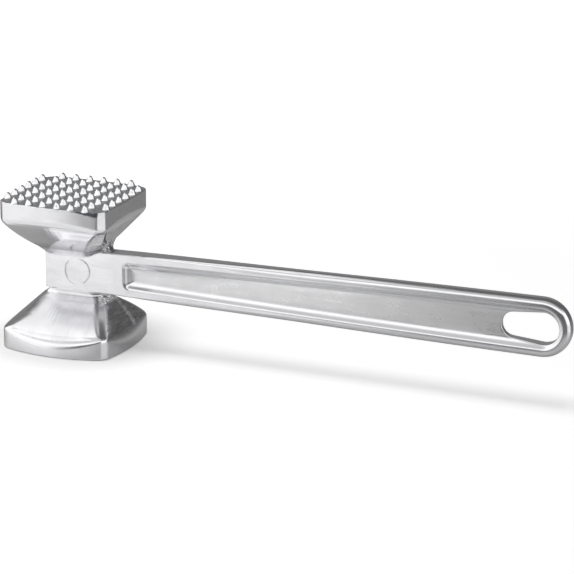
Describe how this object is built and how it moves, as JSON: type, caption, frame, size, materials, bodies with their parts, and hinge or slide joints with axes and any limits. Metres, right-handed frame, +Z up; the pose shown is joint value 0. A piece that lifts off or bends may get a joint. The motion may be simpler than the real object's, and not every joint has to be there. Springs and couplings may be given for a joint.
{
  "type": "meat mallet",
  "caption": "One-piece polished cast aluminium meat mallet with a toothed face, a smooth face and a long recessed handle ending in an oval hang hole.",
  "frame": {"origin": "centre of the smooth striking face, where the mallet stands on the table", "axes": "+X runs along the handle from the head to the hang hole, +Z points up from the smooth face to the toothed face, -Y is the side that carries the ring mark"},
  "size_m": [0.2645, 0.0572, 0.0723],
  "materials": {
    "polished_head": "hand-polished casting, clear reflections with fine polishing streaks",
    "polished_handle": "polished casting, soft reflections along the handle",
    "soft_web": "tumbled casting skin, softer reflections than the rails"
  },
  "bodies": {
    "root": {"toothed_face": "polished_head", "upper_taper": "polished_head", "neck_block": "polished_handle", "lower_taper": "polished_head", "smooth_face": "polished_head", "handle_root": "polished_handle", "handle_upper_rail": "polished_handle", "handle_web": "soft_web", "handle_lower_rail": "polished_handle", "hang_loop": "polished_handle"}
  },
  "joints": []
}
